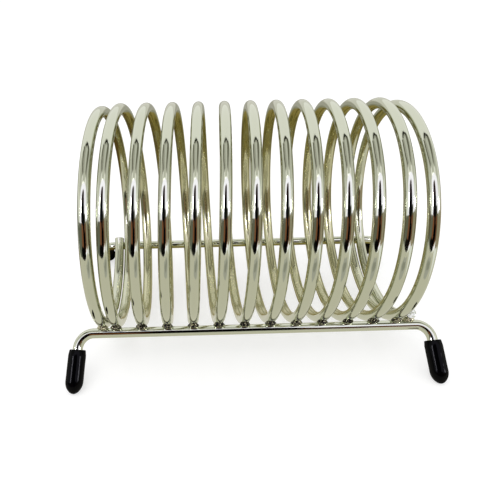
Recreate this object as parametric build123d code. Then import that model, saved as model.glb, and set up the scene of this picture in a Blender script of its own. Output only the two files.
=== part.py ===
from build123d import *

import os
from math import acos, atan2, cos, degrees, radians, sin, sqrt

# A letter rack: one bright wire wound into a coil that lies on its side, welded to two bent rods
# whose ends stand on soft caps. Letters stand between the turns of the coil.
# Lengths are in millimetres. X runs along the coil, Y towards the back and Z up from the floor.
# The origin is on the floor, midway between the four caps.
# A turn angle is in degrees from the bottom of the coil, up its front, over its top and down its back.

# Coil
wire_diameter = 6.0
coil_radius = 60.6  # from the coil's axis to the middle of the wire
coil_pitch = 14.2  # along the axis, from one open turn to the next
coil_turns = 13
end_turn_gap = 0.5  # between the last two turns, where the wire's ends are wound close
end_turn_dip = 3.1  # how much tighter the very end of the wire would run over the top
wire_tail = 4.0  # of wire beyond its last weld
closed_turns = 0.95  # wound close at each end of the wire
opening_turns = 0.45  # over which the coil then opens to the full pitch

# Rods
rod_angle = 45.0  # turn angle at which each rod touches the coil
rod_diameter = 5.4
rod_bend_radius = 8.5  # to the middle of the rod
rod_reach = 11.0  # from the last weld to the corner of the rod
leg_length = 31.6  # from the corner of the rod to the tip of its cap
leg_lean = 4.0  # degrees outwards, along the coil
rod_end_bevel = 0.5

# Welds
weld_gap = 0.15  # between wire and rod, filled by the weld
weld_radius = 3.5

# Caps
cap_diameter = 9.4
cap_mouth_diameter = 8.6
cap_mouth_height = 3.0  # of the narrowing towards the mouth
cap_mouth_round = 0.6
cap_length = 23.0
cap_dome_height = 6.4
cap_tip_radius = 3.2
cap_tip_wall = 3.2
cap_clearance = 0.05  # around the rod, and beyond its end
foot_flat_depth = 0.5  # of the flat that each cap stands on

# What follows from those sizes
wire_radius = wire_diameter / 2
rod_radius = rod_diameter / 2
cap_radius = cap_diameter / 2
quarter_turn = 90.0
full_turn = 360.0
tail_angle = degrees(wire_tail / coil_radius)
first_weld_angle = -rod_angle
last_weld_angle = coil_turns * full_turn + rod_angle
wire_start_angle = first_weld_angle - tail_angle
wire_end_angle = last_weld_angle + tail_angle
weld_middle_radius = coil_radius + wire_radius + weld_gap / 2
rod_distance = coil_radius + wire_radius + weld_gap + rod_radius
leg_tilt = acos(cos(radians(leg_lean)) * cos(radians(rod_angle)))  # in radians from straight down
dome_side_radius = ((cap_dome_height - cap_tip_radius) ** 2 + cap_radius**2 - cap_tip_radius**2) / (
    2 * (cap_radius - cap_tip_radius)
)
dome_joint_tilt = atan2(dome_side_radius - cap_radius, cap_dome_height - cap_tip_radius)


def lowest_below_tip(tilt):
    """How far a cap reaches below the middle of its tip when its axis is tilted from upright."""
    if tilt > dome_joint_tilt:
        return dome_side_radius * (1 - sin(tilt)) + cap_radius * sin(tilt) - cap_dome_height * cos(tilt)
    return cap_tip_radius * (1 - cos(tilt))


axis_height = (
    rod_distance * cos(radians(rod_angle))
    + leg_length * cos(leg_tilt)
    + lowest_below_tip(leg_tilt)
    - foot_flat_depth
)


def closed_up(turns):
    """Closely wound turns, counted from the open coil to a place that is some turns from the wire's end."""
    before_open = max(closed_turns + opening_turns - turns, 0)
    before_opening = max(closed_turns - turns, 0)
    return (before_open**2 - before_opening**2) / (2 * opening_turns)


closer_by = (coil_pitch - wire_diameter - end_turn_gap) / (closed_up(0) - closed_up(1))  # in a close turn


def turns_from_end(angle):
    """Turns between a turn angle and the nearer end of the wire."""
    return min(angle - wire_start_angle, wire_end_angle - angle) / full_turn


def along_coil(angle):
    """Place along X of the middle of the wire, even along the open turns and closing at both ends."""
    middle_angle = (first_weld_angle + last_weld_angle) / 2
    side = 1 if angle > middle_angle else -1
    even = coil_pitch * (angle - middle_angle) / full_turn
    return even - side * closer_by * closed_up(turns_from_end(angle))


def around_coil(angle, radius, along):
    """Point at a turn angle, a radius from the coil's axis and a place along it."""
    turned = radians(angle)
    return Vector(along, -radius * sin(turned), axis_height - radius * cos(turned))


def wire_point(angle):
    """Middle of the wire. The end turns dip a little over the top, and nowhere below the rods."""
    low = cos(radians(rod_angle))
    rise = max(0, low - cos(radians(angle))) / (1 + low)
    closed_share = closed_up(turns_from_end(angle)) / closed_up(0)
    radius = coil_radius - end_turn_dip * closed_share * rise**2
    return around_coil(angle, radius, along_coil(angle))


def wire_direction(angle):
    """Direction in which the wire runs at a turn angle."""
    small_angle = 0.5
    return (wire_point(angle + small_angle) - wire_point(angle - small_angle)).normalized()


def two_arcs(start, start_direction, end, end_direction):
    """Two tangent arcs that leave start and reach end in the given directions."""
    across = end - start
    both = start_direction + end_direction
    spread = 2 * (1 - start_direction.dot(end_direction))
    ahead = across.dot(both)
    reach = (sqrt(ahead**2 + spread * across.dot(across)) - ahead) / spread
    joint = (start + start_direction * reach + end - end_direction * reach) / 2
    first = TangentArc(start, joint, tangent=start_direction)
    return [first, TangentArc(joint, end, tangent=first % 1)]


def coil_path():
    """The wire's middle line, two arcs to a quarter turn."""
    steps = round((wire_end_angle - wire_start_angle) / quarter_turn)
    step_angle = (wire_end_angle - wire_start_angle) / steps
    angles = [wire_start_angle + step_angle * k for k in range(steps + 1)]
    arcs = []
    for here, there in zip(angles, angles[1:]):
        arcs += two_arcs(wire_point(here), wire_direction(here), wire_point(there), wire_direction(there))
    return Wire(arcs)


def make_coil_wire():
    """The whole coil, one unbroken wire with its ends cut square."""
    path = coil_path()
    section = Plane(origin=path @ 0, z_dir=path % 0) * Circle(wire_radius)
    wire = sweep(section, path=path)
    print("coil wire volume", round(wire.volume), "section times length", round(section.area * path.length))
    print("coil least gap to itself", round(least_own_gap(path), 3))
    return wire


def least_own_gap(path):
    """Least space between one turn of the wire and the next, from points along its middle line."""
    points_per_turn = 360
    near = points_per_turn // 20
    count = round(points_per_turn * (wire_end_angle - wire_start_angle) / full_turn)
    points = [path @ (k / count) for k in range(count + 1)]
    least = min(
        (points[k] - points[other]).length
        for k in range(count + 1 - points_per_turn)
        for other in range(k + points_per_turn - near, min(k + points_per_turn + near, count) + 1)
    )
    return least - wire_diameter


def rod_plane(side):
    """Plane through the coil's axis and a rod: side is -1 at the front and 1 at the back."""
    outward = around_coil(-side * rod_angle, 1, 0) - around_coil(0, 0, 0)
    return Plane(origin=around_coil(0, 0, 0), x_dir=(1, 0, 0), z_dir=Vector(1, 0, 0).cross(outward))


def corner_along():
    """Place along X of a rod's right corner."""
    return along_coil(last_weld_angle) + rod_reach


def leg_place(end, distance):
    """Point on a leg in its rod's plane, a distance from the corner: end is -1 left and 1 right."""
    sideways = distance * sin(radians(leg_lean))
    outwards = distance * cos(radians(leg_lean))
    return Vector(end * (corner_along() + sideways), rod_distance + outwards)


def make_rod(side):
    """A rod with both ends bent outwards into legs."""
    leg_end = leg_length - cap_tip_wall - cap_clearance
    points = [leg_place(-1, leg_end), leg_place(-1, 0), leg_place(1, 0), leg_place(1, leg_end)]
    path = rod_plane(side) * FilletPolyline(*points, radius=rod_bend_radius)
    section = Plane(origin=path @ 0, z_dir=path % 0) * Circle(rod_radius)
    rod = sweep(section, path=path)
    ends = [rod.faces().sort_by_distance(path @ place)[0] for place in (0, 1)]
    return chamfer([end.edge() for end in ends], rod_end_bevel)


def make_welds(side, coil_wire, rod):
    """A bead at each crossing of the coil and a rod, filling the corner between them."""
    beads = []
    for turn in range(coil_turns + 1):
        angle = turn * full_turn - side * rod_angle
        middle = around_coil(angle, weld_middle_radius, along_coil(angle))
        ball = Pos(*middle) * Sphere(weld_radius)
        beads.append(ball - coil_wire - rod)
    return Compound(children=[bead.solid() for bead in beads])


def make_cap_blank():
    """A cap with its axis on Z, its tip at the origin and its mouth up."""
    mouth_radius = cap_mouth_diameter / 2
    bore_radius = rod_radius + cap_clearance
    joint = (cap_tip_radius * sin(dome_joint_tilt), cap_tip_radius * (1 - cos(dome_joint_tilt)))
    tip = TangentArc((0, 0), joint, tangent=(1, 0))
    side = TangentArc(joint, (cap_radius, cap_dome_height), tangent=tip % 1)
    wall = Polyline(
        (cap_radius, cap_dome_height),
        (cap_radius, cap_length - cap_mouth_height),
        (mouth_radius, cap_length),
        (bore_radius, cap_length),
        (bore_radius, cap_tip_wall),
        (0, cap_tip_wall),
        (0, 0),
    )
    blank = revolve(Plane.XZ * make_face(tip + side + wall), Axis.Z)
    mouth = blank.edges().filter_by(GeomType.CIRCLE).group_by(Axis.Z)[-1].sort_by(SortBy.RADIUS)[-1]
    return fillet(mouth, cap_mouth_round)


def make_cap(side, end, blank):
    """A cap pushed onto a leg, cut flat where it stands on the floor."""
    plane = rod_plane(side)
    tip = plane.from_local_coords(leg_place(end, leg_length))
    corner = plane.from_local_coords(leg_place(end, 0))
    cap = Plane(origin=tip, z_dir=corner - tip) * blank
    return split(cap, bisect_by=Plane.XY, keep=Keep.TOP)


def main():
    """Builds every piece and writes each one to its own file."""
    coil_wire = make_coil_wire()
    pieces = {"coil_wire": coil_wire}
    blank = make_cap_blank()
    for side, side_name in ((-1, "front"), (1, "rear")):
        rod = make_rod(side)
        pieces[f"{side_name}_rod"] = rod
        pieces[f"{side_name}_rod_welds"] = make_welds(side, coil_wire, rod)
        for end, end_name in ((-1, "left"), (1, "right")):
            pieces[f"foot_cap_{side_name}_{end_name}"] = make_cap(side, end, blank)
    os.makedirs("parts", exist_ok=True)
    for name, piece in pieces.items():
        export_step(piece, f"parts/{name}.step")


main()
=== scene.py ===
from math import atan2, cos, pi, radians, sin, tau

import bmesh
import bpy
from bpy.props import FloatProperty, FloatVectorProperty, IntProperty, PointerProperty
from mathutils import Matrix, Vector


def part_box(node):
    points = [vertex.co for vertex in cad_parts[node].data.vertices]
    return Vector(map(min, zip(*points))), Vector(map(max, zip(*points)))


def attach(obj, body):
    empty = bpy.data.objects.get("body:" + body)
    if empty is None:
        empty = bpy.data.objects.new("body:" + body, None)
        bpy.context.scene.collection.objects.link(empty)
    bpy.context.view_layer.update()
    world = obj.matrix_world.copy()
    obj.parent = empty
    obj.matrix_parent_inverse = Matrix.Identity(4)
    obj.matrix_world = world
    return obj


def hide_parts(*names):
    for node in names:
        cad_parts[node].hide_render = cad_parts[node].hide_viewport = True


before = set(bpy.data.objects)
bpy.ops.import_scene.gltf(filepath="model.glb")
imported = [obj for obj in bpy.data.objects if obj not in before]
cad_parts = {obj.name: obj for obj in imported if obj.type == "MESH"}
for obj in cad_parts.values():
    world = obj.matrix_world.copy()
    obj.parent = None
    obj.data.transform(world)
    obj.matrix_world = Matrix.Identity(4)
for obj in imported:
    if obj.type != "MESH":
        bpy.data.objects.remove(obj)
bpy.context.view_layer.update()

# A letter rack: one plated wire wound into a coil that lies on its side, welded to two bent rods
# whose ends stand on soft caps. X runs along the coil, Y towards the back and Z up from the floor.
# A turn is counted from the bottom of the coil, up its front, over its top and down its back.

bl_info = {
    "name": "Letter rack",
    "version": (1, 0, 0),
    "blender": (4, 5, 0),
    "location": "3D View > Sidebar > Letter Rack",
    "description": "Builds a wire letter rack in four steps and the studio that it stands in",
    "category": "Add Mesh",
}

mm = 0.001

# Kinds of node that are used most
math, vector_math, map_range = "ShaderNodeMath", "ShaderNodeVectorMath", "ShaderNodeMapRange"
noise, bump, principled = "ShaderNodeTexNoise", "ShaderNodeBump", "ShaderNodeBsdfPrincipled"

# How finely the pieces are divided into faces
rings_per_turn = 120
coil_sides = 36
rod_sides = 32
rod_ring_space = 0.6 * mm
rod_bend_points = 40
weld_subdivisions = 5
cap_sides = 72
cap_ring_space = 0.8 * mm
cap_arc_steps = 12
rim_steps = 4

# A swept wire's long faces have this many corners, and its cut faces have more
strip_corners = 4

# How far the rims of the cut ends are rounded
coil_rim = 0.35 * mm
rod_rim = 0.5 * mm

# Lumps on the welds, and the least and most of a bead along the rod, across it and out from it
lump_height = 0.5 * mm
lump_size = 2.2 * mm
least_bead_shares = (0.9, 0.86, 0.5)
most_bead_shares = (1.0, 1.0, 0.62)

# Past this angle the shading of a cap breaks into an edge
cap_edge_angle = radians(35)

# Which way the front and the rear rod lie from the coil's bottom, as turns are counted
rods = (("front", 1), ("rear", -1))


def size(name, description, millimetres):
    """A length that a user can change."""
    length = {"default": millimetres * mm, "precision": 5, "unit": "LENGTH", "subtype": "DISTANCE"}
    return FloatProperty(name=name, description=description, **length)


def slope(name, description, degrees):
    """An angle that a user can change."""
    return FloatProperty(name=name, description=description, default=radians(degrees), subtype="ANGLE")


def colour(name, description, sixteens):
    """A colour that a user can change, given as sRGB hex."""
    return FloatVectorProperty(
        name=name, description=description, default=linear(sixteens), size=4, min=0, max=1, subtype="COLOR"
    )


def linear(sixteens):
    """Linear red, green, blue and alpha of an sRGB hex colour, by the standard's own curve."""
    shares = [int(sixteens[k : k + 2], 16) / 255 for k in (1, 3, 5)]
    return tuple(s / 12.92 if s <= 0.04045 else ((s + 0.055) / 1.055) ** 2.4 for s in shares) + (1.0,)


class RackSizes(bpy.types.PropertyGroup):
    """Sizes of the rack. They are the solids' own, but the welds are 0.1 mm smaller before their lumps."""

    wire_diameter: size("Wire Diameter", "Across the coil's wire", 6.0)
    coil_radius: size("Coil Radius", "From the coil's axis to the middle of the wire", 60.6)
    coil_pitch: size("Coil Pitch", "Along the axis, from one open turn to the next", 14.2)
    coil_turns: IntProperty(
        name="Coil Turns", description="Whole turns between the first and the last weld", default=13
    )
    end_turn_gap: size("End Turn Gap", "Between the last two turns at each end", 0.5)
    end_turn_dip: size("End Turn Dip", "How much tighter the very end of the wire would run at the top", 3.1)
    wire_tail: size("Wire Tail", "Wire beyond its last weld", 4.0)
    closed_turns: FloatProperty(name="Closed Turns", description="Turns wound close at an end", default=0.95)
    opening_turns: FloatProperty(
        name="Opening Turns", description="Turns over which the coil then opens", default=0.45
    )
    rod_angle: slope("Rod Angle", "From the coil's bottom to a rod", 45)
    rod_diameter: size("Rod Diameter", "Across a rod", 5.4)
    rod_bend_radius: size("Rod Bend Radius", "To the middle of the rod", 8.5)
    rod_reach: size("Rod Reach", "From the last weld to the corner of the rod", 11.0)
    leg_length: size("Leg Length", "From the corner of the rod to the tip of its cap", 31.6)
    leg_lean: slope("Leg Lean", "Outwards, along the coil", 4)
    weld_gap: size("Weld Gap", "Between wire and rod", 0.15)
    weld_radius: size("Weld Radius", "Of the bead at a crossing", 3.4)
    cap_diameter: size("Cap Diameter", "Across a foot cap", 9.4)
    cap_mouth_diameter: size("Cap Mouth Diameter", "Across a cap at its mouth", 8.6)
    cap_mouth_height: size("Cap Mouth Height", "Height of the narrowing towards the mouth", 3.0)
    cap_mouth_round: size("Cap Mouth Round", "Radius of the mouth's outer edge", 0.6)
    cap_length: size("Cap Length", "From tip to mouth", 23.0)
    cap_dome_height: size("Cap Dome Height", "Height of the rounded end", 6.4)
    cap_tip_radius: size("Cap Tip Radius", "Radius of the very tip", 3.2)
    cap_tip_wall: size("Cap Tip Wall", "From the tip to the bottom of the bore", 3.2)
    cap_clearance: size("Cap Clearance", "Around the rod", 0.05)


def closed_up(sizes, turns):
    """Closely wound turns, counted from the open coil to a place that is some turns from the wire's end."""
    before_open = max(sizes.closed_turns + sizes.opening_turns - turns, 0)
    before_opening = max(sizes.closed_turns - turns, 0)
    return (before_open**2 - before_opening**2) / (2 * sizes.opening_turns)


def coil_facts(sizes):
    """What follows from the coil's sizes, by the names of the coil's node inputs."""
    tail_turns = sizes.wire_tail / sizes.coil_radius / tau
    rod_turns = sizes.rod_angle / tau
    whole = closed_up(sizes, 0)
    spare = sizes.coil_pitch - sizes.wire_diameter - sizes.end_turn_gap
    return {
        "First Turn": -rod_turns - tail_turns,
        "Last Turn": sizes.coil_turns + rod_turns + tail_turns,
        "Coil Pitch": sizes.coil_pitch,
        "Closed Turns": sizes.closed_turns,
        "Opening Turns": sizes.opening_turns,
        "Closer By": spare / (whole - closed_up(sizes, 1)),
        "Axis Height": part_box("coil_wire")[0].z + sizes.coil_radius + sizes.wire_diameter / 2,
    }


def rod_facts(sizes):
    """What follows from the rods' sizes, by the names of the rod's node inputs."""
    coil = coil_facts(sizes)
    tail_turns = -coil["First Turn"] - sizes.rod_angle / tau
    last_weld = coil["Coil Pitch"] * (sizes.coil_turns / 2 + sizes.rod_angle / tau)
    last_weld -= coil["Closer By"] * closed_up(sizes, tail_turns)
    contact = sizes.coil_radius + sizes.wire_diameter / 2 + sizes.weld_gap
    return {
        "Corner Along": last_weld + sizes.rod_reach,
        "Rod Distance": contact + sizes.rod_diameter / 2,
        "Leg Lean": sizes.leg_lean,
        "Axis Height": coil["Axis Height"],
    }


def add_node(tree, kind, feeds=(), **settings):
    """Adds a node with its settings, its inputs fed by place or name from nodes, sockets or values."""
    node = tree.nodes.new(kind)
    for name, value in settings.items():
        setattr(node, name, value)
    for key, value in feeds.items() if isinstance(feeds, dict) else enumerate(feeds):
        if isinstance(value, bpy.types.Node):
            value = next(socket for socket in value.outputs if socket.enabled)
        if isinstance(value, bpy.types.NodeSocket):
            tree.links.new(value, node.inputs[key])
        elif value is not None:
            node.inputs[key].default_value = value
    return node


def new_tree(name, inputs, outputs):
    """A geometry node tree with named inputs and outputs, and its input node's sockets by name."""
    tree = bpy.data.node_groups.new(name, "GeometryNodeTree")
    for in_out, sockets in (("INPUT", inputs), ("OUTPUT", outputs)):
        for socket_name, kind in sockets.items():
            tree.interface.new_socket(name=socket_name, in_out=in_out, socket_type=f"NodeSocket{kind}")
    return tree, tree.nodes.new("NodeGroupInput").outputs


def grow(name, tree, values):
    """Runs a geometry tree with its inputs set by name, and keeps the result as a plain mesh object."""
    seed = bpy.data.objects.new(name + "_seed", bpy.data.meshes.new(name + "_seed"))
    bpy.context.scene.collection.objects.link(seed)
    modifier = seed.modifiers.new("Tree", "NODES")
    modifier.node_group = tree
    for item in tree.interface.items_tree:
        if item.in_out == "INPUT" and item.name in values:
            modifier[item.identifier] = values[item.name]
    evaluated = seed.evaluated_get(bpy.context.evaluated_depsgraph_get())
    mesh = bpy.data.meshes.new_from_object(evaluated)
    seed.modifiers.remove(modifier)
    bpy.data.objects.remove(seed)
    return add_piece(name, mesh)


def add_piece(name, mesh):
    """An object in the scene for a finished mesh."""
    if not mesh.polygons:
        raise RuntimeError(name + " came out empty")
    mesh.name = name
    piece = bpy.data.objects.new(name, mesh)
    bpy.context.scene.collection.objects.link(piece)
    return piece


def stand_for(piece, node):
    """A finished piece rides on the rack and takes the place of a node, which is hidden."""
    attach(piece, "root")
    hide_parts(node)


# Geometry trees

winding = ("First Turn", "Last Turn", "Coil Pitch", "Closed Turns", "Opening Turns", "Closer By")
winding += ("Axis Height",)


def place_tree():
    """Where a turn and a radius lie on the coil, even along its open turns and closing at both ends."""
    inputs = dict.fromkeys(("Turn", "Radius") + winding, "Float")
    tree, given = new_tree("Place on the coil", inputs, {"Position": "Vector", "Closed Up": "Float"})
    from_first = add_node(tree, math, (given["Turn"], given["First Turn"]), operation="SUBTRACT")
    to_last = add_node(tree, math, (given["Last Turn"], given["Turn"]), operation="SUBTRACT")
    from_end = add_node(tree, math, (from_first, to_last), operation="MINIMUM")
    uneven = add_node(tree, math, (given["Closed Turns"], given["Opening Turns"]), operation="ADD")
    left_open = add_node(tree, math, (uneven, from_end), operation="SUBTRACT")
    left_closed = add_node(tree, math, (given["Closed Turns"], from_end), operation="SUBTRACT")
    before_open = add_node(tree, math, (left_open, 0.0), operation="MAXIMUM")
    before_opening = add_node(tree, math, (left_closed, 0.0), operation="MAXIMUM")
    open_square = add_node(tree, math, (before_open, before_open), operation="MULTIPLY")
    opening_square = add_node(tree, math, (before_opening, before_opening), operation="MULTIPLY")
    squares = add_node(tree, math, (open_square, opening_square), operation="SUBTRACT")
    doubled = add_node(tree, math, (given["Opening Turns"], 2.0), operation="MULTIPLY")
    closed = add_node(tree, math, (squares, doubled), operation="DIVIDE")
    both_ends = add_node(tree, math, (given["First Turn"], given["Last Turn"]), operation="ADD")
    middle = add_node(tree, math, (both_ends, 0.5), operation="MULTIPLY")
    from_middle = add_node(tree, math, (given["Turn"], middle), operation="SUBTRACT")
    side = add_node(tree, math, (from_middle,), operation="SIGN")
    even = add_node(tree, math, (from_middle, given["Coil Pitch"]), operation="MULTIPLY")
    drawn_in = add_node(tree, math, (closed, given["Closer By"]), operation="MULTIPLY")
    inwards = add_node(tree, math, (side, drawn_in), operation="MULTIPLY")
    along = add_node(tree, math, (even, inwards), operation="SUBTRACT")
    angle = add_node(tree, math, (given["Turn"], tau), operation="MULTIPLY")
    across_share = add_node(tree, math, (angle,), operation="SINE")
    down_share = add_node(tree, math, (angle,), operation="COSINE")
    across = add_node(tree, math, (across_share, given["Radius"]), operation="MULTIPLY")
    forwards = add_node(tree, math, (across, -1.0), operation="MULTIPLY")
    down = add_node(tree, math, (down_share, given["Radius"]), operation="MULTIPLY")
    height = add_node(tree, math, (given["Axis Height"], down), operation="SUBTRACT")
    position = add_node(tree, "ShaderNodeCombineXYZ", (along, forwards, height))
    add_node(tree, "NodeGroupOutput", (position, closed))
    return tree


def add_points(tree, count, position):
    """Adds nodes that set each of a row of points in its own place."""
    line = add_node(tree, "GeometryNodeMeshLine", {"Count": count})
    return add_node(tree, "GeometryNodeSetPosition", {"Geometry": line, "Position": position})


sweep_inputs = {"Sides": "Int", "Material": "Material", "Cut Material": "Material"}


def add_sweep(tree, path, radius, given):
    """Ends a tree by sweeping a round section along a path and closing its ends with cut faces.

    The attribute straight_wire holds where each point would be if the wire lay straight along Z.
    """
    store, vectors = "GeometryNodeStoreNamedAttribute", {"data_type": "FLOAT_VECTOR"}
    length = add_node(tree, "GeometryNodeSplineParameter").outputs["Length"]
    length_place = add_node(tree, "ShaderNodeCombineXYZ", {"Z": length})
    feeds = {"Geometry": path, "Name": "length_place", "Value": length_place}
    noted_path = add_node(tree, store, feeds, **vectors)
    feeds = {"Resolution": given["Sides"], "Radius": radius}
    circle = add_node(tree, "GeometryNodeCurvePrimitiveCircle", feeds)
    section_place = add_node(tree, "GeometryNodeInputPosition")
    feeds = {"Geometry": circle, "Name": "section_place", "Value": section_place}
    noted_circle = add_node(tree, store, feeds, **vectors)
    feeds = {"Curve": noted_path, "Profile Curve": noted_circle, "Fill Caps": True}
    swept = add_node(tree, "GeometryNodeCurveToMesh", feeds)
    noted_places = [
        add_node(tree, "GeometryNodeInputNamedAttribute", {"Name": name}, **vectors)
        for name in ("length_place", "section_place")
    ]
    straight = add_node(tree, vector_math, noted_places, operation="ADD")
    noted = add_node(tree, store, {"Geometry": swept, "Name": "straight_wire", "Value": straight}, **vectors)
    for name in ("length_place", "section_place"):
        noted = add_node(tree, "GeometryNodeRemoveAttribute", {"Geometry": noted, "Name": name})
    smooth = add_node(tree, "GeometryNodeSetShadeSmooth", {"Geometry": noted, "Shade Smooth": True})
    plated = add_node(tree, "GeometryNodeSetMaterial", {"Geometry": smooth, "Material": given["Material"]})
    corners = add_node(tree, "GeometryNodeInputMeshFaceNeighbors").outputs["Vertex Count"]
    feeds = {"A": corners, "B": strip_corners}
    is_cut = add_node(tree, "FunctionNodeCompare", feeds, operation="GREATER_THAN")
    feeds = {"Geometry": plated, "Selection": is_cut, "Material": given["Cut Material"]}
    cut = add_node(tree, "GeometryNodeSetMaterial", feeds)
    add_node(tree, "NodeGroupOutput", (add_node(tree, "GeometryNodeRealizeInstances", (cut,)),))


def coil_tree(coil_place):
    """Sweeps the wire along its turns, which dip a little over the top at both ends."""
    floats = ("Coil Radius", "Wire Radius") + winding + ("Most Dip", "Rod Height Share")
    inputs = dict.fromkeys(floats, "Float") | {"Rings": "Int"} | sweep_inputs
    tree, given = new_tree("Coil wire", inputs, {"Geometry": "Geometry"})
    index = add_node(tree, "GeometryNodeInputIndex")
    rings = add_node(tree, math, (given["Rings"], 1.0), operation="SUBTRACT")
    share = add_node(tree, math, (index, rings), operation="DIVIDE")
    feeds = {"Value": share, "To Min": given["First Turn"], "To Max": given["Last Turn"]}
    turn = add_node(tree, map_range, feeds)
    angle = add_node(tree, math, (turn, tau), operation="MULTIPLY")
    down_share = add_node(tree, math, (angle,), operation="COSINE")
    above_rods = add_node(tree, math, (given["Rod Height Share"], down_share), operation="SUBTRACT")
    above = add_node(tree, math, (above_rods, 0.0), operation="MAXIMUM")
    whole = add_node(tree, math, (given["Rod Height Share"], 1.0), operation="ADD")
    rise = add_node(tree, math, (above, whole), operation="DIVIDE")
    rise_square = add_node(tree, math, (rise, rise), operation="MULTIPLY")
    feeds = {name: given[name] for name in winding}
    feeds["Turn"] = turn
    closed = add_node(tree, "GeometryNodeGroup", feeds, node_tree=coil_place)
    dip_share = add_node(tree, math, (closed.outputs["Closed Up"], given["Most Dip"]), operation="MULTIPLY")
    dip = add_node(tree, math, (dip_share, rise_square), operation="MULTIPLY")
    feeds["Radius"] = add_node(tree, math, (given["Coil Radius"], dip), operation="SUBTRACT")
    place = add_node(tree, "GeometryNodeGroup", feeds, node_tree=coil_place)
    path = add_node(tree, "GeometryNodeMeshToCurve", {"Mesh": add_points(tree, given["Rings"], place)})
    add_sweep(tree, path, given["Wire Radius"], given)
    return tree


def rod_tree():
    """Sweeps a rod through its two corners and down both legs."""
    floats = ("Corner Along", "Rod Distance", "Leg Length", "Leg Lean", "Rod Angle", "Axis Height")
    floats += ("Bend Radius", "Rod Radius", "Ring Space")
    inputs = dict.fromkeys(floats, "Float") | sweep_inputs
    tree, given = new_tree("Bent rod", inputs, {"Geometry": "Geometry"})
    rod_points = 4  # a foot and a corner at each end
    index = add_node(tree, "GeometryNodeInputIndex")
    from_middle = add_node(tree, math, (index, (rod_points - 1) / 2), operation="SUBTRACT")
    side = add_node(tree, math, (from_middle,), operation="SIGN")
    points_out = add_node(tree, math, (from_middle,), operation="ABSOLUTE")
    is_foot = add_node(tree, math, (points_out, 1.0), operation="GREATER_THAN")
    down_leg = add_node(tree, math, (is_foot, given["Leg Length"]), operation="MULTIPLY")
    lean_across = add_node(tree, math, (given["Leg Lean"],), operation="SINE")
    lean_down = add_node(tree, math, (given["Leg Lean"],), operation="COSINE")
    sideways = add_node(tree, math, (down_leg, lean_across), operation="MULTIPLY")
    outwards = add_node(tree, math, (down_leg, lean_down), operation="MULTIPLY")
    reach = add_node(tree, math, (given["Corner Along"], sideways), operation="ADD")
    along = add_node(tree, math, (side, reach), operation="MULTIPLY")
    distance = add_node(tree, math, (given["Rod Distance"], outwards), operation="ADD")
    across_share = add_node(tree, math, (given["Rod Angle"],), operation="SINE")
    down_share = add_node(tree, math, (given["Rod Angle"],), operation="COSINE")
    across = add_node(tree, math, (distance, across_share), operation="MULTIPLY")
    forwards = add_node(tree, math, (across, -1.0), operation="MULTIPLY")
    down = add_node(tree, math, (distance, down_share), operation="MULTIPLY")
    height = add_node(tree, math, (given["Axis Height"], down), operation="SUBTRACT")
    corners = add_node(tree, "ShaderNodeCombineXYZ", (along, forwards, height))
    path = add_node(tree, "GeometryNodeMeshToCurve", {"Mesh": add_points(tree, rod_points, corners)})
    feeds = {"Curve": path, "Count": rod_bend_points, "Radius": given["Bend Radius"]}
    bent = add_node(tree, "GeometryNodeFilletCurve", feeds, mode="POLY")
    feeds = {"Curve": bent, "Length": given["Ring Space"]}
    even = add_node(tree, "GeometryNodeResampleCurve", feeds, mode="LENGTH")
    add_sweep(tree, even, given["Rod Radius"], given)
    return tree


def weld_tree(coil_place):
    """Sets a flat lumpy bead at each crossing of the coil and a rod, no two alike."""
    floats = ("First Weld", "Radius") + winding + ("Weld Radius", "Lump Height", "Lump Scale")
    inputs = dict.fromkeys(floats, "Float") | {"Weld Count": "Int", "Seed": "Int", "Material": "Material"}
    tree, given = new_tree("Rod welds", inputs, {"Geometry": "Geometry"})
    index = add_node(tree, "GeometryNodeInputIndex")
    feeds = {name: given[name] for name in ("Radius",) + winding}
    feeds["Turn"] = add_node(tree, math, (index, given["First Weld"]), operation="ADD")
    place = add_node(tree, "GeometryNodeGroup", feeds, node_tree=coil_place)
    points = add_points(tree, given["Weld Count"], place)
    feeds = {"Radius": given["Weld Radius"], "Subdivisions": weld_subdivisions}
    ball = add_node(tree, "GeometryNodeMeshIcoSphere", feeds)
    feeds = {"Min": least_bead_shares, "Max": most_bead_shares, "Seed": given["Seed"]}
    bead_shares = add_node(tree, "FunctionNodeRandomValue", feeds, data_type="FLOAT_VECTOR")
    tilt = add_node(tree, math, (given["First Weld"], -tau), operation="MULTIPLY")
    tilts = add_node(tree, "ShaderNodeCombineXYZ", {"X": tilt})
    feeds = {"Points": points, "Instance": ball, "Rotation": tilts, "Scale": bead_shares}
    beads = add_node(tree, "GeometryNodeInstanceOnPoints", feeds)
    real = add_node(tree, "GeometryNodeRealizeInstances", (beads,))
    lumps = add_node(tree, "ShaderNodeTexVoronoi", {"Scale": given["Lump Scale"]}, feature="SMOOTH_F1")
    height = add_node(tree, math, (lumps, given["Lump Height"]), operation="MULTIPLY")
    normal = add_node(tree, "GeometryNodeInputNormal")
    outwards = add_node(tree, vector_math, {"Vector": normal, "Scale": height}, operation="SCALE")
    inwards = add_node(tree, vector_math, {"Vector": outwards, "Scale": -1.0}, operation="SCALE")
    lumpy = add_node(tree, "GeometryNodeSetPosition", {"Geometry": real, "Offset": inwards})
    smooth = add_node(tree, "GeometryNodeSetShadeSmooth", {"Geometry": lumpy, "Shade Smooth": True})
    plated = add_node(tree, "GeometryNodeSetMaterial", {"Geometry": smooth, "Material": given["Material"]})
    add_node(tree, "NodeGroupOutput", (plated,))
    return tree


# Finishes

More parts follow.
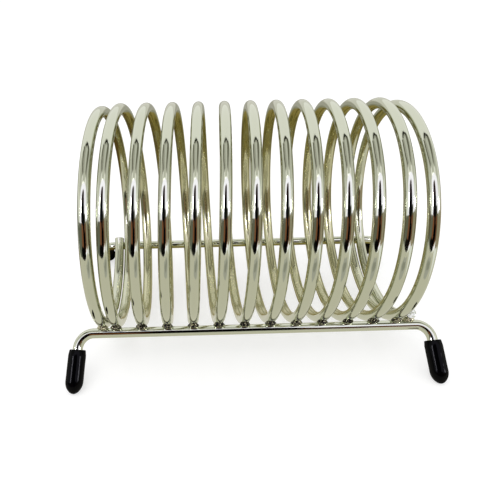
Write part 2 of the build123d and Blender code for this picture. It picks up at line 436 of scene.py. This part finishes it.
class RackFinishes(bpy.types.PropertyGroup):
    """Colours of the rack's finishes."""

    plating: colour("Plating", "Bright plating on the drawn wire", "#D1D4C1")
    # The inside tint is a painted reflection: a yellower colour on the inside of the coil for the olive shade
    # mirrored there
    inside_tint: colour("Nickel", "Nickel on the inside of the coil, where little chrome reaches", "#CCCAA8")
    weld_plating: colour("Weld Plating", "Plating over the burnt metal of a weld", "#DAD5B8")
    weld_burn: colour("Weld Burn", "Burnt hollows of a weld", "#0C0704")
    cut_plating: colour("Cut Plating", "Plating on the rough cut ends of the wire", "#CFD2C0")
    cap_vinyl: colour("Cap Vinyl", "Black vinyl of the foot caps", "#020203")


# Places of a Mix node's colour sockets, which share their names with its other sockets
mix_share, mix_from, mix_to, mixed = 0, 6, 7, 2


def new_material(name):
    """An empty node material, and its node tree."""
    material = bpy.data.materials.new(name)
    material.use_nodes = True
    material.node_tree.nodes.clear()
    return material, material.node_tree


def finish_material(tree, shader):
    """Makes a shader the surface of its material."""
    add_node(tree, "ShaderNodeOutputMaterial", {"Surface": shader})


def painted_inside_share(tree, axis_height):
    """How much of the painted inside tint a place gets: 0 on the coil's outside and flanks, 1 on its inside.

    It is less near the coil's open ends, which more of the room's light reaches into.
    """
    inside_facing = -0.7
    sheltered_place, end_place, end_share = 66 * mm, 84 * mm, 0.15
    place = add_node(tree, "ShaderNodeTexCoord")
    feeds = (place.outputs["Object"], (0, 0, axis_height))
    from_axis = add_node(tree, vector_math, feeds, operation="SUBTRACT")
    across = add_node(tree, vector_math, (from_axis, (0, 1, 1)), operation="MULTIPLY")
    outward = add_node(tree, vector_math, (across,), operation="NORMALIZE")
    facing = add_node(tree, vector_math, (outward, place.outputs["Normal"]), operation="DOT_PRODUCT")
    feeds = {"Value": facing.outputs["Value"], "From Max": inside_facing}
    inside = add_node(tree, map_range, feeds)
    along = add_node(tree, "ShaderNodeSeparateXYZ", (place.outputs["Object"],)).outputs["X"]
    from_middle = add_node(tree, math, (along,), operation="ABSOLUTE")
    feeds = {"Value": from_middle, "From Min": end_place, "From Max": sheltered_place, "To Min": end_share}
    sheltered = add_node(tree, map_range, feeds)
    return add_node(tree, math, (inside, sheltered), operation="MULTIPLY")


def plated_wire_material(name, plating, inside_tint=None, axis_height=0):
    """Nickel and chrome plating on cold-drawn steel wire.

    The plating is a clear warm mirror. It copies the wire under it, so reflections waver a little along the
    wire and fine draw lines stretch them. The lines are wider than real ones, so that they show. Handling
    leaves duller patches. Given an inside tint, the inside of the coil is painted yellower, a painted
    reflection for the olive shade mirrored in there, and it is softer there.
    """
    line_width, line_length, line_depth = 0.3 * mm, 14 * mm, 0.001 * mm
    wave_size, wave_height = 7 * mm, 0.008 * mm
    smudge_size, smudge_from, smudge_to = 11 * mm, 0.35, 0.7
    clean_roughness, smudged_roughness, inside_roughness = 0.05, 0.1, 0.08
    material, tree = new_material(name)
    straight = add_node(tree, "ShaderNodeAttribute", attribute_name="straight_wire").outputs["Vector"]
    lines_per_metre = (1 / line_width, 1 / line_width, 1 / line_length)
    line_place = add_node(tree, vector_math, (straight, lines_per_metre), operation="MULTIPLY")
    lines = add_node(tree, noise, {"Vector": line_place, "Scale": 1.0, "Detail": 3.0})
    wave_place = add_node(tree, vector_math, (straight, (1 / wave_size,) * 3), operation="MULTIPLY")
    waves = add_node(tree, noise, {"Vector": wave_place, "Scale": 1.0, "Detail": 1.0})
    smudges = add_node(tree, noise, {"Vector": straight, "Scale": 1 / smudge_size, "Detail": 4.0})
    feeds = {"Value": smudges, "From Min": smudge_from, "From Max": smudge_to}
    feeds |= {"To Min": clean_roughness, "To Max": smudged_roughness}
    roughness = add_node(tree, map_range, feeds)
    wavy = add_node(tree, bump, {"Height": waves, "Distance": wave_height})
    lined = add_node(tree, bump, {"Height": lines, "Distance": line_depth, "Normal": wavy})
    if inside_tint:
        # Painted reflection: the inside of the coil gets the yellower inside tint
        inside_share = painted_inside_share(tree, axis_height)
        colours = {mix_share: inside_share, mix_from: plating, mix_to: inside_tint}
        plating = add_node(tree, "ShaderNodeMix", colours, data_type="RGBA")
        feeds = (inside_share, inside_roughness, roughness)
        roughness = add_node(tree, math, feeds, operation="MULTIPLY_ADD")
    feeds = {"Base Color": plating, "Metallic": 1.0, "Roughness": roughness, "Normal": lined}
    finish_material(tree, add_node(tree, principled, feeds))
    return material


def cut_end_material(name, plating):
    """The plated cut face of sheared wire, torn into small bright facets."""
    facet_size, facet_depth = 1.5 * mm, 0.3 * mm
    material, tree = new_material(name)
    place = add_node(tree, "ShaderNodeTexCoord").outputs["Object"]
    facets = add_node(tree, "ShaderNodeTexVoronoi", {"Vector": place, "Scale": 1 / facet_size})
    torn = add_node(tree, bump, {"Height": facets.outputs["Distance"], "Distance": facet_depth})
    feeds = {"Base Color": plating, "Metallic": 1.0, "Roughness": 0.22, "Normal": torn}
    finish_material(tree, add_node(tree, principled, feeds))
    return material


def weld_material(name, plating, burn):
    """Plating over a resistance weld, whose squeezed metal stays lumpy and burnt dark in patches.

    The welds near the ends of the rods get fewer dark patches: painted light, for the open ends of the coil.
    """
    pit_size, pit_depth = 1.2 * mm, 0.5 * mm
    grit_size, grit_height = 0.8 * mm, 0.3 * mm
    burn_from, burn_to = 0.4, 0.46
    # Painted light: the welds near the ends of the rods get fewer dark patches
    lit_end_from, lit_end_to, lit_end_share = 74 * mm, 84 * mm, 0.16
    material, tree = new_material(name)
    place = add_node(tree, "ShaderNodeTexCoord").outputs["Object"]
    pits = add_node(tree, "ShaderNodeTexVoronoi", {"Vector": place, "Scale": 1 / pit_size})
    grit = add_node(tree, noise, {"Vector": place, "Scale": 1 / grit_size, "Detail": 4.0})
    along = add_node(tree, "ShaderNodeSeparateXYZ", (place,)).outputs["X"]
    from_middle = add_node(tree, math, (along,), operation="ABSOLUTE")
    feeds = {"Value": from_middle, "From Min": lit_end_from, "From Max": lit_end_to, "To Max": lit_end_share}
    painted_end_light = add_node(tree, map_range, feeds)
    # The burnt share is the burn less the painted light at the ends
    burn_less_end_light = add_node(tree, math, (grit, painted_end_light), operation="SUBTRACT")
    burnt = add_node(tree, map_range, {"Value": burn_less_end_light, "From Min": burn_from, "From Max": burn_to})
    clean = add_node(tree, math, (1.0, burnt), operation="SUBTRACT")
    colours = {mix_share: burnt, mix_from: plating, mix_to: burn}
    tint = add_node(tree, "ShaderNodeMix", colours, data_type="RGBA").outputs[mixed]
    pitted = add_node(tree, bump, {"Height": pits.outputs["Distance"], "Distance": pit_depth})
    gritty = add_node(tree, bump, {"Height": grit, "Distance": grit_height, "Normal": pitted})
    feeds = {"Base Color": tint, "Metallic": clean, "Roughness": 0.18, "Specular IOR Level": 0.2}
    feeds["Normal"] = gritty
    finish_material(tree, add_node(tree, principled, feeds))
    return material


def cap_material(name, vinyl):
    """Black vinyl dipped over the legs, as glossy as it ran off the dip, with a slow ripple and a fine peel.

    Dust makes its gloss uneven and dulls it at low angles.
    """
    ripple_size, ripple_height = 5 * mm, 0.12 * mm
    peel_size, peel_height = 0.6 * mm, 0.006 * mm
    dust_from, dust_to = 0.3, 0.75
    clean_roughness, dusty_roughness = 0.07, 0.14
    dull_from, dull_to, most_shine = 0.35, 0.75, 0.06
    material, tree = new_material(name)
    place = add_node(tree, "ShaderNodeTexCoord").outputs["Object"]
    ripple = add_node(tree, noise, {"Vector": place, "Scale": 1 / ripple_size, "Detail": 1.0})
    peel = add_node(tree, noise, {"Vector": place, "Scale": 1 / peel_size, "Detail": 2.0})
    feeds = {"Value": peel, "From Min": dust_from, "From Max": dust_to}
    feeds |= {"To Min": clean_roughness, "To Max": dusty_roughness}
    roughness = add_node(tree, map_range, feeds)
    rippled = add_node(tree, bump, {"Height": ripple, "Distance": ripple_height})
    peeled = add_node(tree, bump, {"Height": peel, "Distance": peel_height, "Normal": rippled})
    low = add_node(tree, "ShaderNodeLayerWeight").outputs["Facing"]
    feeds = {"Value": low, "From Min": dull_from, "From Max": dull_to, "To Min": most_shine, "To Max": 0.0}
    shine = add_node(tree, map_range, feeds)
    feeds = {"Base Color": vinyl, "Roughness": roughness, "IOR": 1.53, "Specular IOR Level": shine}
    feeds["Normal"] = peeled
    finish_material(tree, add_node(tree, principled, feeds))
    return material


# Operators

class MakeCoil(bpy.types.Operator):
    """Makes the coil, one wire from its first weld to its last"""

    bl_idname = "letter_rack.make_coil"
    bl_label = "Coil"

    def execute(self, context):
        sizes = context.scene.rack_sizes
        finishes = context.scene.rack_finishes
        facts = coil_facts(sizes)
        facts["Coil Radius"] = sizes.coil_radius
        facts["Wire Radius"] = sizes.wire_diameter / 2
        facts["Most Dip"] = sizes.end_turn_dip / closed_up(sizes, 0)
        facts["Rod Height Share"] = cos(sizes.rod_angle)
        facts["Rings"] = round(rings_per_turn * (facts["Last Turn"] - facts["First Turn"]))
        facts["Sides"] = coil_sides
        facts["Material"] = plated_wire_material(
            "bright plated drawn wire", finishes.plating, finishes.inside_tint, facts["Axis Height"]
        )
        facts["Cut Material"] = cut_end_material("plated cut end", finishes.cut_plating)
        wire = grow("letter_coil", coil_tree(place_tree()), facts)
        round_cut_ends(wire.data, coil_rim)
        stand_for(wire, "coil_wire")
        return {"FINISHED"}


def round_cut_ends(mesh, radius):
    """Rounds the rims of a swept wire's cut faces."""
    work = bmesh.new()
    work.from_mesh(mesh)
    bmesh.ops.recalc_face_normals(work, faces=work.faces)
    rims = [edge for face in work.faces if len(face.verts) > strip_corners for edge in face.edges]
    bmesh.ops.bevel(
        work, geom=rims, offset=radius, segments=rim_steps, profile=0.5, affect="EDGES", clamp_overlap=True
    )
    for face in work.faces:
        face.smooth = len(face.verts) <= strip_corners
    work.to_mesh(mesh)
    work.free()


class MakeRods(bpy.types.Operator):
    """Makes the two rods with their bent legs"""

    bl_idname = "letter_rack.make_rods"
    bl_label = "Rods"

    def execute(self, context):
        sizes = context.scene.rack_sizes
        facts = rod_facts(sizes)
        facts["Leg Length"] = sizes.leg_length - sizes.cap_tip_wall - sizes.cap_clearance
        facts["Bend Radius"] = sizes.rod_bend_radius
        facts["Rod Radius"] = sizes.rod_diameter / 2
        facts["Ring Space"] = rod_ring_space
        facts["Sides"] = rod_sides
        plating = context.scene.rack_finishes.plating
        facts["Material"] = plated_wire_material("bright plated drawn rod", plating)
        facts["Cut Material"] = bpy.data.materials["plated cut end"]
        tree = rod_tree()
        for side_name, side in rods:
            facts["Rod Angle"] = side * sizes.rod_angle
            rod = grow(f"{side_name}_leg_rod", tree, facts)
            round_cut_ends(rod.data, rod_rim)
            stand_for(rod, f"{side_name}_rod")
        return {"FINISHED"}


class MakeWelds(bpy.types.Operator):
    """Makes the weld at each crossing of the coil and a rod"""

    bl_idname = "letter_rack.make_welds"
    bl_label = "Welds"

    def execute(self, context):
        sizes = context.scene.rack_sizes
        finishes = context.scene.rack_finishes
        facts = coil_facts(sizes)
        facts["Weld Count"] = sizes.coil_turns + 1
        facts["Radius"] = sizes.coil_radius + sizes.wire_diameter / 2 + sizes.weld_gap / 2
        facts["Weld Radius"] = sizes.weld_radius
        facts["Lump Height"] = lump_height
        facts["Lump Scale"] = 1 / lump_size
        facts["Material"] = weld_material("plated weld", finishes.weld_plating, finishes.weld_burn)
        tree = weld_tree(bpy.data.node_groups["Place on the coil"])
        for seed, (side_name, side) in enumerate(rods):
            facts["First Weld"] = side * sizes.rod_angle / tau
            facts["Seed"] = seed
            welds = grow(f"{side_name}_weld_beads", tree, facts)
            stand_for(welds, f"{side_name}_rod_welds")
        return {"FINISHED"}


def cap_outline(sizes):
    """Radius and height of a cap's section, from the bottom of its bore, over its mouth and to its tip."""
    cap_radius = sizes.cap_diameter / 2
    tip_radius = sizes.cap_tip_radius
    dome = sizes.cap_dome_height
    side_radius = ((dome - tip_radius) ** 2 + cap_radius**2 - tip_radius**2) / (2 * (cap_radius - tip_radius))
    joint_tilt = atan2(side_radius - cap_radius, dome - tip_radius)
    taper = atan2(cap_radius - sizes.cap_mouth_diameter / 2, sizes.cap_mouth_height)
    bore = sizes.rod_diameter / 2 + sizes.cap_clearance
    rounding = sizes.cap_mouth_round
    rounding_height = sizes.cap_length - rounding
    taper_reach = sizes.cap_mouth_diameter / 2 * cos(taper) + sizes.cap_length * sin(taper)
    rounding_middle = (taper_reach - rounding - rounding_height * sin(taper)) / cos(taper)
    outline = [(0.0, sizes.cap_tip_wall), (bore, sizes.cap_tip_wall), (bore, sizes.cap_length)]
    for k in range(cap_arc_steps + 1):
        tilt = pi / 2 + (taper - pi / 2) * k / cap_arc_steps
        outline.append((rounding_middle + rounding * cos(tilt), rounding_height + rounding * sin(tilt)))
    outline.append((cap_radius, sizes.cap_length - sizes.cap_mouth_height))
    for k in range(cap_arc_steps + 1):
        tilt = pi / 2 + (joint_tilt - pi / 2) * k / cap_arc_steps
        outline.append((cap_radius - side_radius + side_radius * sin(tilt), dome - side_radius * cos(tilt)))
    for k in range(1, cap_arc_steps):
        tilt = joint_tilt * (1 - k / cap_arc_steps)
        outline.append((tip_radius * sin(tilt), tip_radius * (1 - cos(tilt))))
    outline.append((0.0, 0.0))
    return outline


def divided(outline, longest):
    """The same outline with its long straight runs divided, so that shading stays true beside a corner."""
    points = [outline[0]]
    for (radius, height), (next_radius, next_height) in zip(outline, outline[1:]):
        run = Vector((next_radius - radius, next_height - height)).length
        parts = max(1, round(run / longest))
        for k in range(1, parts + 1):
            share = k / parts
            points.append((radius + (next_radius - radius) * share, height + (next_height - height) * share))
    return points


def turned_mesh(name, outline, sides, place, material):
    """A closed mesh turned from an outline about Z, put in its place and cut flat at the floor."""
    work = bmesh.new()
    rings = []
    for radius, height in outline:
        count = sides if radius > 0 else 1
        turns = [tau * k / count for k in range(count)]
        rings.append([work.verts.new((radius * cos(turn), radius * sin(turn), height)) for turn in turns])
    for inner, outer in zip(rings, rings[1:]):
        for k in range(sides):
            spots = ((inner, k), (inner, k + 1), (outer, k + 1), (outer, k))
            corners = [ring[spot % len(ring)] for ring, spot in spots]
            # At a pole two of the corners are one, and the dict keeps it once
            work.faces.new(dict.fromkeys(corners))
    work.transform(place)
    everything = work.verts[:] + work.edges[:] + work.faces[:]
    bmesh.ops.bisect_plane(work, geom=everything, plane_co=(0, 0, 0), plane_no=(0, 0, 1), clear_inner=True)
    bmesh.ops.holes_fill(work, edges=[edge for edge in work.edges if edge.is_boundary])
    bmesh.ops.recalc_face_normals(work, faces=work.faces)
    mesh = bpy.data.meshes.new(name)
    work.to_mesh(mesh)
    work.free()
    mesh.materials.append(material)
    mesh.shade_smooth()
    mesh.set_sharp_from_angle(angle=cap_edge_angle)
    return mesh


class MakeCaps(bpy.types.Operator):
    """Makes the four soft caps that the legs stand on"""

    bl_idname = "letter_rack.make_caps"
    bl_label = "Foot Caps"

    def execute(self, context):
        sizes = context.scene.rack_sizes
        facts = rod_facts(sizes)
        material = cap_material("glossy black dipped vinyl", context.scene.rack_finishes.cap_vinyl)
        outline = divided(cap_outline(sizes), cap_ring_space)
        sideways = sin(sizes.leg_lean)
        for side_name, side in rods:
            outward = Vector((0, -side * sin(sizes.rod_angle), -cos(sizes.rod_angle)))
            for end_name, end in (("left", -1), ("right", 1)):
                down_leg = Vector((end * sideways, 0, 0)) + outward * cos(sizes.leg_lean)
                over_corner = Vector((end * facts["Corner Along"], 0, facts["Axis Height"]))
                corner = over_corner + outward * facts["Rod Distance"]
                tip = corner + down_leg * sizes.leg_length
                place = Matrix.Translation(tip) @ (-down_leg).to_track_quat("Z", "Y").to_matrix().to_4x4()
                name = f"{side_name}_{end_name}_cap"
                cap = add_piece(name, turned_mesh(name, outline, cap_sides, place, material))
                stand_for(cap, f"foot_cap_{side_name}_{end_name}")
        return {"FINISHED"}


class MakeStage(bpy.types.Operator):
    """Makes the pale floor, the cards that the plating mirrors, the lamp and the camera"""

    bl_idname = "letter_rack.make_stage"
    bl_label = "Studio"

    def execute(self, context):
        make_world(context.scene)
        make_floor()
        for name, tint, strength, wall, steps_off, corners in cards:
            add_card(name, linear(tint), strength, [on_wall(wall, steps_off, *corner) for corner in corners])
        make_lamp()
        make_camera(context.scene)
        return {"FINISHED"}


# Studio

# Lengths here are in metres, but the camera's lens and place are in millimetres. Its angles are in degrees.
front, rear, top = -0.8, 1.4, 1.2
card_step = 0.001
floor_reach = 6.0
floor_paper = "#B4B4B4"
floor_lift = 0.6  # the white that the floor adds where the camera or a reflection sees it
lamp_length, lamp_width = 1.2, 0.8
lamp_watts = 6.0
lamp_place = (-0.5, -0.5, 1.6)
camera_lens = 35.73
camera_shift_shares = (0.0907, -0.0138)
camera_place = (-28.992, -257.606, 201.523)
camera_yaw, camera_pitch, camera_roll = 0.643, -30.353, -1.135
nearest_seen = 0.01


def oblong(left, low, right, high):
    """The four corners of an oblong."""
    return (left, low), (right, low), (right, high), (left, high)


# Each card is seen only as a reflection: its name, colour, strength, the wall it lies on, how far it lies
# in front of that wall in steps, and its corners. Corners on the front and rear walls are X and Z, and
# corners on the top and the table are X and Y.
cards = (
    ("front light", "#EBE8FF", 1.6, "front", 0, oblong(-1.5, 0.43, 1.3, top)),
    ("left wall", "#6D6D5F", 1, "front", 1, oblong(-6, 0, -0.55, 0.43)),
    ("right wall", "#A09A86", 1, "front", 1, oblong(0.62, 0, 6, 0.43)),
    ("left brown wall", "#85563C", 1, "front", 1, oblong(-0.55, 0, 0.3, 0.43)),
    ("right brown wall", "#74503A", 1, "front", 1, oblong(0.3, 0.03, 0.62, 0.43)),
    ("olive card", "#5D5C50", 1, "front", 2, ((0.15, 0.4), (0.55, 0.4), (0.5, 0.57), (0.15, 0.57))),
    ("dark card", "#040404", 1, "front", 3,
     ((-0.75, 0), (0.13, 0), (0.32, 0.1), (0.32, 0.26), (0.18, 0.31), (0.18, 0.39), (0.24, 0.45),
      (0.23, 0.8), (-0.6, 0.8), (-0.62, 0.45), (-0.18, 0.39), (-0.14, 0.3), (-0.17, 0.1), (-0.65, 0.08))),
    ("dim card", "#2C1A1D", 1, "front", 3, ((0.23, 0.8), (0.22, 1.08), (-0.5, 1.08), (-0.6, 0.8))),
    ("dimmer card", "#5E4D4F", 1, "front", 3, ((0.22, 1.08), (0.2, 1.19), (-0.36, 1.19), (-0.5, 1.08))),
    ("rear wall", "#E2E1DB", 1, "rear", 0, oblong(-6, 0, 6, 0.5)),
    ("low rear wall", "#C4C1B6", 1, "rear", 1, oblong(-6, 0, 6, 0.08)),
    ("top light", "#EBE8FF", 1.7, "top", 1, ((-1.4, front), (1.3, front), (1.1, -0.62), (-1.1, -0.62))),
    ("left glow", "#F4F3F4", 1.2, "top", 2, ((-0.8, -0.62), (-0.45, -0.62), (-0.4, -0.42), (-0.75, -0.38))),
    ("right glow", "#F4F3F4", 1.2, "top", 2, ((0.3, -0.62), (0.85, -0.62), (0.8, -0.42), (0.35, -0.46))),
    ("side ceiling", "#D6D6D0", 1, "top", 0,
     ((-3, 1.2), (-1, 0.42), (0.45, 0.21), (1, 0.42), (3, 1.2), (3, -0.6), (-3, -0.6))),
    ("grey ceiling", "#B4B3AC", 1, "top", 1,
     ((-1.15, 0.45), (-0.5, 0.22), (0.5, 0.22), (1.15, 0.45), (1, -0.4), (-1, -0.4))),
    ("pale ceiling", "#D5D6D1", 1, "top", 2, ((-0.25, 0.14), (0.3, 0.14), (0.25, -0.4), (-0.1, -0.4))),
    ("left beam", "#67675A", 1, "top", 2,
     ((-1, 0.5), (-0.6, 0.26), (-0.7, 0), (-0.45, -0.35), (-0.65, -0.35), (-1, 0.05))),
    ("right beam", "#737366", 1, "top", 2,
     ((0.95, 0.42), (0.35, 0.24), (0.4, -0.36), (0.55, -0.36), (0.9, 0.1))),
    ("ceiling edge", "#24241E", 1, "top", 3,
     ((-0.85, 0.4), (-0.5, 0.27), (0.5, 0.26), (0.7, 0.33), (0.5, 0.2), (-0.3, 0.18))),
    ("left table", "#70746A", 1, "table", 1, oblong(-6, front, -0.36, rear)),
    ("right table", "#A99A84", 1, "table", 1, oblong(0.3, front, 6, rear)),
    ("pale sheet", "#D9D6C9", 1, "table", 2, oblong(-0.36, -0.44, 0.3, 0)),
    ("bright sheet", "#F7F8FA", 1.1, "table", 3,
     ((0.15, -0.09), (0.34, -0.09), (0.38, -0.45), (0.27, -0.42), (0.2, -0.2))),
    ("white sheet", "#EBE8FF", 1.7, "table", 3, ((0.17, front), (0.5, front), (0.38, -0.45), (0.17, -0.5))),
    # A near-black card on the table in front of the rack
    ("dark table card", "#060606", 1, "table", 4,
     ((-0.9, front), (0.16, front), (0.12, -0.52), (0.02, -0.46), (-0.1, -0.42), (-0.24, -0.38),
      (-0.34, -0.31), (-0.5, -0.42))),
    ("grey patch", "#BABAB4", 1, "table", 3,
     ((-0.06, -0.3), (0.12, -0.32), (0.13, -0.18), (0.09, -0.14), (0.02, -0.13), (-0.06, -0.17))),
    ("dark patch", "#A0A197", 1, "table", 4,
     ((-0.03, -0.24), (0.09, -0.25), (0.1, -0.19), (0.03, -0.17), (-0.02, -0.18))),
    ("pale corner", "#DEDCD0", 1, "table", 2, oblong(0.05, 0, 0.3, 0.1)),
    # The next two cards are painted shadow: dark olive sheets for the rack's shade on the table under it,
    # which the plating mirrors
    ("brown table", "#90844E", 1, "table", 3,
     ((-0.3, 0), (0.07, 0), (0.12, 0.04), (0.3, 0.08), (0.3, 0.26), (-0.3, 0.26))),
    ("painted left rack shade", "#5F4D26", 1, "table", 4, oblong(-0.3, 0.02, -0.085, 0.26)),
    ("grey table", "#949482", 1, "table", 2, oblong(-2, 0.26, 2, 0.36)),
    ("rear table", "#ADACA0", 1, "table", 2, oblong(-2, 0.36, 2, rear)),
    ("left strip", "#F5F3FF", 42.0, "front", 4, oblong(-0.98, 0.58, -0.87, 0.95)),
    ("right strip", "#F5F3FF", 26.0, "front", 4, oblong(1.2, 0.5, 1.6, 0.75)),
)

# A pale glare is painted on these cards where they are seen at a low angle, a painted reflection as off a
# glossy table
glare_cards = ("brown table", "painted left rack shade")
painted_glare = "#D9D6C9"
glare_from, glare_to = 0.55, 0.8


def on_wall(wall, steps_off, across, up):
    """Place of a card's corner."""
    if wall == "front":
        return across, front + steps_off * card_step, up
    if wall == "rear":
        return across, rear - steps_off * card_step, up
    if wall == "top":
        return across, up, top - steps_off * card_step
    return across, up, steps_off * card_step


def flat_piece(name, corners, material):
    """A piece with a single face."""
    mesh = bpy.data.meshes.new(name)
    mesh.from_pydata(corners, [], [range(len(corners))])
    mesh.materials.append(material)
    return add_piece(name.replace(" ", "_"), mesh)


def add_card(name, tint, strength, corners):
    """A flat card that only the plating and the caps see."""
    material, tree = new_material(name)
    if name in glare_cards:
        # Painted reflection: the card's colour turns to the pale glare at low angles
        low = add_node(tree, "ShaderNodeLayerWeight").outputs["Facing"]
        glare = add_node(tree, map_range, {"Value": low, "From Min": glare_from, "From Max": glare_to})
        colours = {mix_share: glare, mix_from: tint, mix_to: linear(painted_glare)}
        tint = add_node(tree, "ShaderNodeMix", colours, data_type="RGBA").outputs[mixed]
    finish_material(tree, add_node(tree, "ShaderNodeEmission", {"Color": tint, "Strength": strength}))
    card = flat_piece(name, corners, material)
    for ray in ("camera", "diffuse", "transmission", "shadow"):
        setattr(card, f"visible_{ray}", False)


def make_world(scene):
    """A white room, as bright as white paper."""
    world = bpy.data.worlds.new("white room")
    scene.world = world
    world.use_nodes = True
    world.node_tree.nodes.clear()
    room = add_node(world.node_tree, "ShaderNodeBackground", {"Color": (1, 1, 1, 1), "Strength": 1.0})
    add_node(world.node_tree, "ShaderNodeOutputWorld", {"Surface": room})


def make_floor():
    """A wide white floor that keeps the rack's soft shadow."""
    material, tree = new_material("white floor")
    path = add_node(tree, "ShaderNodeLightPath")
    camera, glossy, clear = (path.outputs[f"Is {kind} Ray"] for kind in ("Camera", "Glossy", "Transmission"))
    sees = add_node(tree, math, (camera, glossy), operation="ADD")
    sees_more = add_node(tree, math, (sees, clear), operation="ADD", use_clamp=True)
    paper = add_node(tree, "ShaderNodeBsdfDiffuse", {"Color": linear(floor_paper)})
    lift_strength = add_node(tree, math, (sees_more, floor_lift), operation="MULTIPLY")
    lift = add_node(tree, "ShaderNodeEmission", {"Color": (1, 1, 1, 1), "Strength": lift_strength})
    finish_material(tree, add_node(tree, "ShaderNodeAddShader", (paper, lift)))
    corners = [(x, y, 0) for x, y in oblong(-floor_reach, -floor_reach, floor_reach, floor_reach)]
    flat_piece("floor", corners, material)


def make_lamp():
    """One large soft lamp overhead, in front and to the left."""
    data = bpy.data.lights.new("soft lamp", "AREA")
    data.shape = "RECTANGLE"
    data.size, data.size_y = lamp_length, lamp_width
    data.energy = lamp_watts
    lamp = bpy.data.objects.new("soft_lamp", data)
    lamp.location = lamp_place
    lamp.rotation_euler = (-lamp.location).to_track_quat("-Z", "Y").to_euler()
    bpy.context.scene.collection.objects.link(lamp)


def make_camera(scene):
    """The camera at the photograph's place and angle."""
    data = bpy.data.cameras.new("camera")
    data.lens = camera_lens
    data.shift_x, data.shift_y = camera_shift_shares
    data.clip_start = nearest_seen
    camera = bpy.data.objects.new("camera", data)
    yaw = Matrix.Rotation(-radians(camera_yaw), 4, "Z")
    pitch = Matrix.Rotation(pi / 2 + radians(camera_pitch), 4, "X")
    roll = Matrix.Rotation(radians(camera_roll), 4, "Z")
    turn = yaw @ pitch @ roll
    camera.matrix_world = Matrix.Translation(Vector(camera_place) * mm) @ turn
    scene.collection.objects.link(camera)
    scene.camera = camera
    scene.view_settings.view_transform = "Standard"


class RackPanel(bpy.types.Panel):
    """Lists the steps that build the rack"""

    bl_idname = "VIEW3D_PT_letter_rack"
    bl_label = "Letter Rack"
    bl_space_type = "VIEW_3D"
    bl_region_type = "UI"
    bl_category = "Letter Rack"

    def draw(self, context):
        for step in steps:
            self.layout.operator(step.bl_idname)
        for group in (context.scene.rack_sizes, context.scene.rack_finishes):
            for name in group.__annotations__:
                self.layout.prop(group, name)


steps = (MakeCoil, MakeRods, MakeWelds, MakeCaps, MakeStage)
groups = (RackSizes, RackFinishes)


def register():
    for part in groups + steps + (RackPanel,):
        bpy.utils.register_class(part)
    bpy.types.Scene.rack_sizes = PointerProperty(type=RackSizes)
    bpy.types.Scene.rack_finishes = PointerProperty(type=RackFinishes)


def unregister():
    del bpy.types.Scene.rack_finishes
    del bpy.types.Scene.rack_sizes
    for part in (RackPanel,) + steps[::-1] + groups[::-1]:
        bpy.utils.unregister_class(part)


def main():
    """Registers the add-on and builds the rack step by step."""
    register()
    bpy.ops.letter_rack.make_coil()
    bpy.ops.letter_rack.make_rods()
    bpy.ops.letter_rack.make_welds()
    bpy.ops.letter_rack.make_caps()
    bpy.ops.letter_rack.make_stage()


if __name__ == "__main__":
    main()
